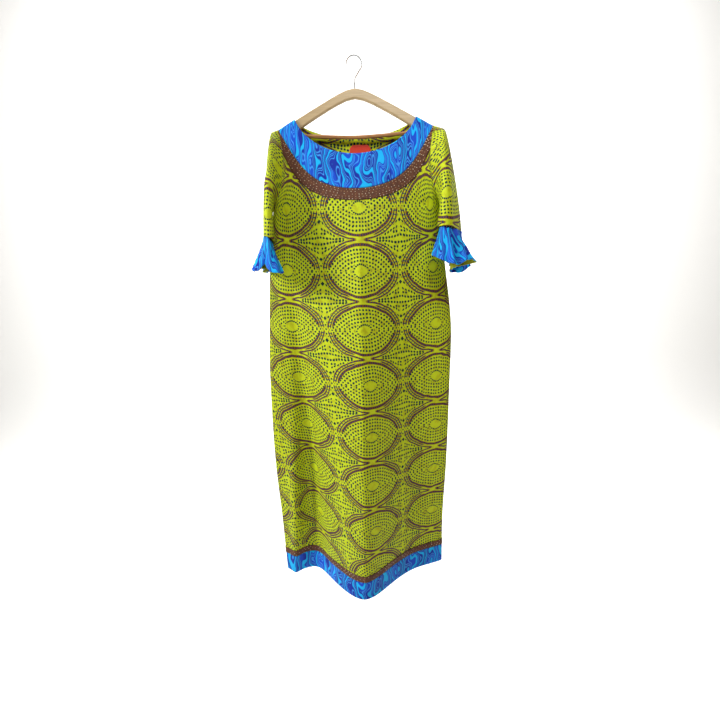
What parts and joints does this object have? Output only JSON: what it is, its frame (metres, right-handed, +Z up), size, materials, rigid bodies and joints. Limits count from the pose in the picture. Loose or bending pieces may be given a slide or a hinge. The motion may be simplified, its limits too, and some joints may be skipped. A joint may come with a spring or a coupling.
{
  "type": "ankara wax print dress on a clothes hanger",
  "caption": "Long wax print dress with a scooped neckline, yoke, flounced elbow sleeves and a banded hem, hanging on a wooden clothes hanger with a wire hook.",
  "frame": {"origin": "top inside of the hanger's hook, the point that rests on a rail", "axes": "+Z up along the hanging dress, the front of the dress faces -Y, +X to the viewer's right along the hanger's arms"},
  "size_m": [0.6132, 0.2127, 1.5635],
  "materials": {
    "wax_print_cotton": "printed plain-weave cotton, faintly glazed",
    "blue_marbled_cotton": "printed plain-weave cotton, matte",
    "brown_studded_trim": "matte cotton strip with small faceted stones",
    "plain_green_lining": "matte plain cotton",
    "red_woven_label": "woven satin ribbon",
    "pale_hanger_wood": "lacquered pale wood",
    "brown_bar_wood": "lacquered wood dowel",
    "bright_steel_wire": "bright plated wire"
  },
  "bodies": {
    "root": {"back_panel": "wax_print_cotton", "front_panel": "wax_print_cotton", "sleeve_left": "wax_print_cotton", "sleeve_right": "wax_print_cotton", "neck_yoke": "blue_marbled_cotton", "hem_band_front": "blue_marbled_cotton", "hem_band_back": "blue_marbled_cotton", "flounce_left": "blue_marbled_cotton", "flounce_right": "blue_marbled_cotton", "neck_trim": "brown_studded_trim", "hem_trim_front": "brown_studded_trim", "hem_trim_back": "brown_studded_trim", "flounce_lining_left": "plain_green_lining", "flounce_lining_right": "plain_green_lining", "neck_label": "red_woven_label", "hanger_arms": "pale_hanger_wood", "hanger_bar": "brown_bar_wood", "hanger_hook": "bright_steel_wire"}
  },
  "joints": []
}
